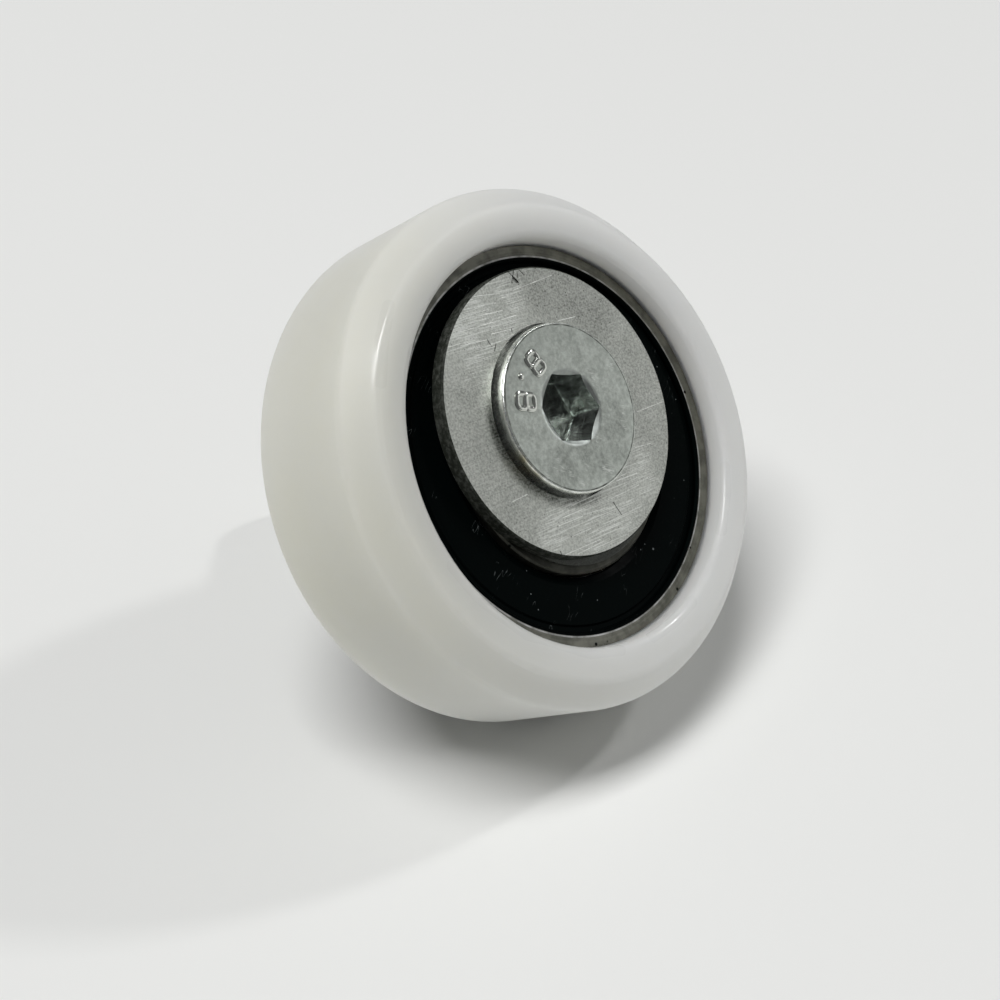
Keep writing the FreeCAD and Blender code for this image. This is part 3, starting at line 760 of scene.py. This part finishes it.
def thread_tree():
    """Helical thread as a closed solid: crest and root flats, a run-in at the start and a chamfered tip."""
    tree, given, result = new_group("Rolled Thread", "GeometryNodeTree", [
        *number_sockets(pitch=1.0, length=1.0, crest_radius=1.0, root_radius=0.8, start_radius=0.8, start=0.0,
                        axis_height=0.0, tip_chamfer=0.1),
        ("Turn Segments", "NodeSocketInt", 96), ("Pitch Steps", "NodeSocketInt", 16),
        ("Material", "NodeSocketMaterial", None),
    ], [("Geometry", "NodeSocketGeometry")])
    steps = times(tree, divided(tree, given["Length"], given["Pitch"]), given["Pitch Steps"])
    rows = plus(tree, calculate(tree, "CEIL", steps), 3.0)
    grid = node(tree, "GeometryNodeMeshGrid", {
        "Size X": 1.0, "Size Y": 1.0, "Vertices Y": rows,
        "Vertices X": plus(tree, given["Turn Segments"], 1.0)})
    x, y, _ = split(tree, output(tree, "GeometryNodeInputPosition"))
    round_share = plus(tree, x, 0.5)
    row_share = divided(tree, 1.0, minus(tree, rows, 1.0))
    along_share = plus(tree, y, 0.5)

    # The first two rows lie at the start and the last two at the tip, and the outermost ones close the ends.
    along = output(tree, "ShaderNodeMapRange", {
        "Value": along_share, "From Min": row_share, "From Max": minus(tree, 1.0, row_share),
        "To Min": 0.0, "To Max": given["Length"]})
    half_row = times(tree, row_share, 0.5)
    inside = times(tree, calculate(tree, "GREATER_THAN", along_share, half_row),
                   calculate(tree, "LESS_THAN", along_share, minus(tree, 1.0, half_row)))

    # Flanks between a root flat of a quarter pitch and a crest flat of an eighth.
    phase = calculate(tree, "FRACT", plus(tree, divided(tree, along, given["Pitch"]), round_share))
    rise = minus(tree, 1.0, size(tree, minus(tree, times(tree, phase, 2.0), 1.0)))
    ridge = output(tree, "ShaderNodeMapRange", {
        "Value": rise, "From Min": 0.25, "From Max": 0.875,
        "To Min": given["Root Radius"], "To Max": given["Crest Radius"]})
    run_in = plus(tree, given["Start Radius"], along)
    run_out = plus(tree, minus(tree, given["Crest Radius"], given["Tip Chamfer"]),
                   minus(tree, given["Length"], along))
    radius = times(tree, least(tree, ridge, least(tree, run_in, run_out)), inside)
    turn = times(tree, round_share, math.tau)
    place = combined(
        tree, times(tree, radius, cosine(tree, turn)), plus(tree, given["Start"], along),
        plus(tree, given["Axis Height"], times(tree, radius, sine(tree, turn))))
    wound = output(tree, "GeometryNodeSetPosition", {
        "Geometry": grid.outputs["Mesh"], "Position": place})
    closed = output(tree, "GeometryNodeMergeByDistance", {"Geometry": wound, "Distance": THREAD_WELD})
    return end_geometry(tree, given, result, closed)


def mark_tree():
    """Two raised digits and a point on a circle of the screw's head, as forged heads carry their class."""
    sizes = {"digit_height": 1.0, "digit_width": 0.7, "stroke": 0.1, "raise": 0.1, "digit_radius": 1.0,
             "point_radius": 1.2, "angle": 0.0, "spread": 0.5, "head_top": 0.0, "axis_height": 0.0}
    tree, given, result = new_group("Class Mark", "GeometryNodeTree", [
        *number_sockets(**sizes),
        ("Material", "NodeSocketMaterial", None),
    ], [("Geometry", "NodeSocketGeometry")])

    def on_circle(radius, turn):
        return combined(tree, times(tree, radius, cosine(tree, turn)),
                        times(tree, radius, sine(tree, turn)))

    def join(*parts):
        made = node(tree, "GeometryNodeJoinGeometry")
        for part in parts:
            tree.links.new(part, made.inputs[0])
        return made.outputs[0]

    # A digit: two rounded loops, one over the other, joined into one solid.
    wide = minus(tree, given["Digit Width"], given["Stroke"])
    tall = times(tree, minus(tree, given["Digit Height"], given["Stroke"]), LOOP_SHARE)
    loop = output(tree, "GeometryNodeCurvePrimitiveQuadrilateral", {"Width": tall, "Height": wide})
    rounded = output(tree, "GeometryNodeFilletCurve", {
        "Curve": loop, "Radius": times(tree, tall, LOOP_ROUNDING), "Count": 7}, mode="POLY")
    circle = output(tree, "GeometryNodeCurvePrimitiveCircle", {"Resolution": 16, "Radius": 1.0})
    half_stroke = times(tree, given["Stroke"], 0.5)
    section = output(tree, "GeometryNodeTransform", {
        "Geometry": circle, "Scale": combined(tree, half_stroke, given["Raise"], 1.0)})
    ridge = output(tree, "GeometryNodeCurveToMesh", {"Curve": rounded, "Profile Curve": section})
    halves = [output(tree, "GeometryNodeTransform", {
        "Geometry": ridge, "Translation": combined(tree, times(tree, tall, shift))})
        for shift in (-LOOP_SHIFT, LOOP_SHIFT)]
    union = node(tree, "GeometryNodeMeshBoolean", operation="UNION", solver="EXACT")
    for half in halves:
        tree.links.new(half, union.inputs["Mesh 2"])
    digit = output(tree, "GeometryNodeMergeByDistance", {
        "Geometry": union.outputs["Mesh"], "Distance": DIGIT_WELD})

    # Both digits on their circle, with the tops towards the axis.
    spots = node(tree, "GeometryNodePoints", {"Count": 2, "Radius": 0.0001})
    index = output(tree, "GeometryNodeInputIndex")
    turn = plus(tree, given["Angle"], times(tree, minus(tree, index, 0.5), given["Spread"]))
    spread = output(tree, "GeometryNodeSetPosition", {
        "Geometry": spots.outputs[0], "Position": on_circle(given["Digit Radius"], turn)})
    digits = output(tree, "GeometryNodeInstanceOnPoints", {
        "Points": spread, "Instance": digit, "Rotation": combined(tree, z=turn)})
    dot_radius = times(tree, given["Stroke"], POINT_SHARE)
    dot = output(tree, "GeometryNodeMeshIcoSphere", {"Radius": dot_radius, "Subdivisions": 4})
    point = output(tree, "GeometryNodeTransform", {
        "Geometry": dot, "Scale": combined(tree, 1.0, 1.0, divided(tree, given["Raise"], dot_radius)),
        "Translation": on_circle(given["Point Radius"], given["Angle"])})

    # From the drawing plane to the head, which faces the front.
    standing = output(tree, "GeometryNodeTransform", {
        "Geometry": join(digits, point), "Rotation": (math.pi / 2, 0.0, 0.0),
        "Translation": combined(tree, y=given["Head Top"], z=given["Axis Height"])})
    return end_geometry(tree, given, result, standing)


def add_piece(name, mesh):
    """Object of the visual model, at the origin and with its place in its mesh."""
    piece = bpy.data.objects.new(name, mesh)
    mesh.name = name
    bpy.context.scene.collection.objects.link(piece)
    return piece


def shade_hard_surface(mesh, sharp_degrees=27.0):
    """Outward faces, smooth curves and crisp edges."""
    shell = bmesh.new()
    shell.from_mesh(mesh)
    bmesh.ops.recalc_face_normals(shell, faces=shell.faces)
    shell.to_mesh(mesh)
    shell.free()
    mesh.shade_smooth()
    mesh.set_sharp_from_angle(angle=math.radians(sharp_degrees))


def flatten_socket(mesh, head_flat, reach):
    """Flat shading on the walls and the floor of the key socket."""
    for face in mesh.polygons:
        corners = [mesh.vertices[index].co for index in face.vertices]
        inside = all(c.y > head_flat and math.hypot(c.x, c.z - SCREW_AXIS) < reach for c in corners)
        if inside and face.center.y <= MOUNTING_FACE:
            face.use_smooth = False


def screw_without_thread(thread_start, head_flat):
    """Copy of the CAD screw with its flat under the raised mark, closed where the thread starts."""
    shell = bmesh.new()
    shell.from_mesh(frame["nodes"]["socket_screw"].data)
    bmesh.ops.remove_doubles(shell, verts=shell.verts, dist=SCREW_WELD)
    beyond = [face for face in shell.faces if all(v.co.y > thread_start - 0.01 * MM for v in face.verts)]
    bmesh.ops.delete(shell, geom=beyond, context="FACES")
    rim = [edge for edge in shell.edges if edge.is_boundary]
    bmesh.ops.edgeloop_fill(shell, edges=rim)
    for vertex in shell.verts:
        vertex.co.y = max(vertex.co.y, head_flat)
    return shell


class ROLLER_OT_wheel(bpy.types.Operator):
    """Give the moulded roller its satin nylon"""

    bl_idname = "roller.wheel"
    bl_label = "Moulded Roller"

    def execute(self, context):
        paint("roller_wheel", nylon_finish(context.scene.roller_finishes))
        return {"FINISHED"}


class ROLLER_OT_bearing(bpy.types.Operator):
    """Give the bearing's rings, seals, balls and cage their finishes"""

    bl_idname = "roller.bearing"
    bl_label = "Sealed Bearing"

    def execute(self, context):
        colours = context.scene.roller_finishes
        paint("bearing_outer_ring", ring_finish(colours, "outer_ring_steel", OUTER_RING_BAND, 1.0))
        paint("bearing_inner_ring", ring_finish(colours, "inner_ring_steel", INNER_RING_BAND, 0.6))
        seal_rubber = seal_finish(colours)
        ball_steel = ball_finish(colours)
        for name in ("front_seal", "rear_seal"):
            paint(name, seal_rubber)
        for name in frame["nodes"]:
            if name.startswith("ball_") and name != "ball_cage":
                paint(name, ball_steel)
        paint("ball_cage", cage_finish(colours))
        return {"FINISHED"}


class ROLLER_OT_eccentric(bpy.types.Operator):
    """Give the eccentric bush and its rear spacer their scratched plating"""

    bl_idname = "roller.eccentric"
    bl_label = "Eccentric Bush"

    def execute(self, context):
        colours = context.scene.roller_finishes
        paint("eccentric_bush", bush_finish(colours, "bush_zinc", 1.04))
        paint("rear_spacer", bush_finish(colours, "spacer_zinc", 0.3))
        return {"FINISHED"}


class ROLLER_OT_screw(bpy.types.Operator):
    """Build the socket screw with its rolled thread"""

    bl_idname = "roller.screw"
    bl_label = "Socket Screw"

    def execute(self, context):
        details = context.scene.roller_details
        head_flat = HEAD_TOP + details.digit_raise
        zinc = screw_finish(context.scene.roller_finishes, head_flat)
        start = MOUNTING_FACE + details.runout_reach
        thread = grown_mesh(thread_tree(), {
            "Pitch": details.pitch, "Length": SCREW_TIP - start + THREAD_OVERLAP,
            "Crest Radius": details.crest_radius, "Root Radius": details.root_radius,
            "Start Radius": details.runout_radius - THREAD_OVERLAP, "Start": start - THREAD_OVERLAP,
            "Axis Height": SCREW_AXIS, "Tip Chamfer": details.tip_chamfer, "Material": zinc,
            "Turn Segments": details.turn_segments, "Pitch Steps": details.pitch_steps})
        shell = screw_without_thread(start, head_flat)
        shell.from_mesh(thread)
        mesh = bpy.data.meshes.new("threaded_screw")
        shell.to_mesh(mesh)
        shell.free()
        bpy.data.meshes.remove(thread)
        mesh.materials.clear()
        mesh.materials.append(zinc)
        for face in mesh.polygons:
            face.material_index = 0
        shade_hard_surface(mesh)
        flatten_socket(mesh, head_flat, details.socket_reach)
        piece = add_piece("threaded_screw", mesh)
        smoother = piece.modifiers.new("face_weighted_normals", "WEIGHTED_NORMAL")
        smoother.keep_sharp = True
        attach(piece, "screw")
        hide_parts("socket_screw")
        return {"FINISHED"}


class ROLLER_OT_mark(bpy.types.Operator):
    """Raise the strength class on the screw's head"""

    bl_idname = "roller.mark"
    bl_label = "Class Mark"

    def execute(self, context):
        details = context.scene.roller_details
        mesh = grown_mesh(mark_tree(), {
            "Digit Height": details.digit_height, "Digit Width": details.digit_width,
            "Stroke": details.digit_stroke, "Raise": details.digit_raise,
            "Digit Radius": details.digit_radius, "Point Radius": details.point_radius,
            "Angle": details.mark_angle, "Spread": details.mark_spread,
            "Head Top": HEAD_TOP + details.digit_raise, "Axis Height": SCREW_AXIS,
            "Material": mark_finish(context.scene.roller_finishes)})
        shade_hard_surface(mesh)
        piece = add_piece("class_mark", mesh)
        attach(piece, "screw")
        return {"FINISHED"}


def camera_axes(stage):
    """Right, up and back directions of the camera."""
    turn = stage.camera_azimuth
    rise = stage.camera_elevation
    back = Vector((math.sin(turn) * math.cos(rise), -math.cos(turn) * math.cos(rise), math.sin(rise)))
    level_right = Vector((math.cos(turn), math.sin(turn), 0.0))
    level_up = back.cross(level_right)
    roll = stage.camera_roll
    right = level_right * math.cos(roll) + level_up * math.sin(roll)
    return right, back.cross(right), back


def floor_axes(stage):
    """Right, away and up directions of the floor, which the camera sees level but from above."""
    right, up, back = camera_axes(stage)
    floor_up = up * math.cos(stage.floor_pitch) + back * math.sin(stage.floor_pitch)
    return right, floor_up.cross(right), floor_up


def lowest_level(direction):
    """How low the object reaches along a direction."""
    levels = []
    for name in ("roller_wheel", "socket_screw"):
        levels.extend(vertex.co.dot(direction) for vertex in frame["nodes"][name].data.vertices)
    return min(levels)


def turned_frame(right, up, back, place):
    """Matrix of an object with the given axes and place."""
    turn = Matrix((right, up, back)).transposed().to_4x4()
    return Matrix.Translation(place) @ turn


def add_camera(stage):
    """Camera that the scene is seen through."""
    data = bpy.data.cameras.new("camera")
    data.lens = stage.lens
    data.sensor_fit = "HORIZONTAL"
    data.sensor_width = SENSOR_WIDTH
    data.clip_start = 1.0 * MM
    camera = bpy.data.objects.new("camera", data)
    camera.matrix_world = turned_frame(*camera_axes(stage), Vector(stage.camera_place))
    bpy.context.scene.collection.objects.link(camera)
    bpy.context.scene.camera = camera


def add_floor(stage):
    """Round pale floor under the leaning wheel."""
    right, away, up = floor_axes(stage)
    level = up * lowest_level(up)
    mesh = bpy.data.meshes.new("floor")
    shell = bmesh.new()
    bmesh.ops.create_circle(shell, cap_ends=True, segments=96, radius=stage.floor_radius)
    shell.transform(turned_frame(right, away, up, level))
    shell.to_mesh(mesh)
    shell.free()
    floor = bpy.data.objects.new("floor", mesh)
    bpy.context.scene.collection.objects.link(floor)
    mesh.materials.append(floor_finish(stage, level))


def floor_finish(stage, centre):
    """Matt pale floor that shows from its upper side only and fades out at its edge."""
    material, tree, inputs = blank_material("pale_floor", Specular_IOR_Level=0.2, Roughness=0.7)
    inputs["Base Color"].default_value = opaque(stage.floor)
    place = node(tree, "ShaderNodeTexCoord").outputs["Object"]
    reach = node(tree, "ShaderNodeVectorMath", {0: place, 1: centre}, operation="DISTANCE").outputs["Value"]
    fade = ramp(tree, reach, *(stage.floor_radius * share for share in FLOOR_FADE))
    hidden = most(tree, fade, node(tree, "ShaderNodeNewGeometry").outputs["Backfacing"])
    clear = output(tree, "ShaderNodeBsdfTransparent")
    shown = tree.nodes["Principled BSDF"].outputs[0]
    mix = node(tree, "ShaderNodeMixShader", {0: hidden, 1: shown, 2: clear})
    tree.links.new(mix.outputs[0], tree.nodes["Material Output"].inputs["Surface"])
    return material


def add_lamp(name, place, along, power, width, depth):
    """Soft rectangular lamp aimed at the wheel, with its width along a direction."""
    data = bpy.data.lights.new(name, "AREA")
    data.shape = "RECTANGLE"
    data.energy = power
    data.size = width
    data.size_y = depth
    lamp = bpy.data.objects.new(name, data)
    back = place.normalized()
    side = (along - back * along.dot(back)).normalized()
    lamp.matrix_world = turned_frame(side, back.cross(side), back, place)
    bpy.context.scene.collection.objects.link(lamp)


def add_lights(stage):
    """A long lamp overhead, a small one at the right, broad low lights on both sides and a dim even sky."""
    right, away, up = floor_axes(stage)
    for name, power, (to_right, to_away, to_up), (wide_right, wide_away), width, depth in LAMPS:
        place = (right * to_right + away * to_away + up * to_up).normalized() * LAMP_DISTANCE
        add_lamp(name, place, right * wide_right + away * wide_away, getattr(stage, power), width, depth)
    world = bpy.data.worlds.new("studio")
    world.use_nodes = True
    background = world.node_tree.nodes["Background"].inputs
    background["Color"].default_value = SKY_TINT
    background["Strength"].default_value = stage.sky
    bpy.context.scene.world = world


class ROLLER_OT_stage(bpy.types.Operator):
    """Set up the floor, the lamps and the camera"""

    bl_idname = "roller.stage"
    bl_label = "Stage"

    def execute(self, context):
        stage = context.scene.roller_stage
        add_camera(stage)
        add_floor(stage)
        add_lights(stage)
        context.scene.view_settings.view_transform = "Standard"
        return {"FINISHED"}


OPERATORS = (ROLLER_OT_wheel, ROLLER_OT_bearing, ROLLER_OT_eccentric, ROLLER_OT_screw, ROLLER_OT_mark,
             ROLLER_OT_stage)


class ROLLER_PT_sidebar(bpy.types.Panel):
    """Lists the steps that dress the roller wheel"""

    bl_idname = "ROLLER_PT_sidebar"
    bl_label = "Roller Wheel"
    bl_space_type = "VIEW_3D"
    bl_region_type = "UI"
    bl_category = "Roller Wheel"

    def draw(self, context):
        for operator in OPERATORS:
            self.layout.operator(operator.bl_idname)


SETTINGS = {"roller_finishes": RollerFinishes, "roller_details": ScrewDetails, "roller_stage": StageSettings}


def register():
    """Register the settings, the operators and the panel."""
    for item in (*SETTINGS.values(), *OPERATORS, ROLLER_PT_sidebar):
        bpy.utils.register_class(item)
    for name, group in SETTINGS.items():
        setattr(bpy.types.Scene, name, PointerProperty(type=group))


def unregister():
    """Take back what register did."""
    for name in SETTINGS:
        delattr(bpy.types.Scene, name)
    for item in (ROLLER_PT_sidebar, *OPERATORS, *SETTINGS.values()):
        bpy.utils.unregister_class(item)


def main():
    """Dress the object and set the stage."""
    register()
    bpy.ops.roller.wheel()
    bpy.ops.roller.bearing()
    bpy.ops.roller.eccentric()
    bpy.ops.roller.screw()
    bpy.ops.roller.mark()
    bpy.ops.roller.stage()


if __name__ == "__main__":
    main()
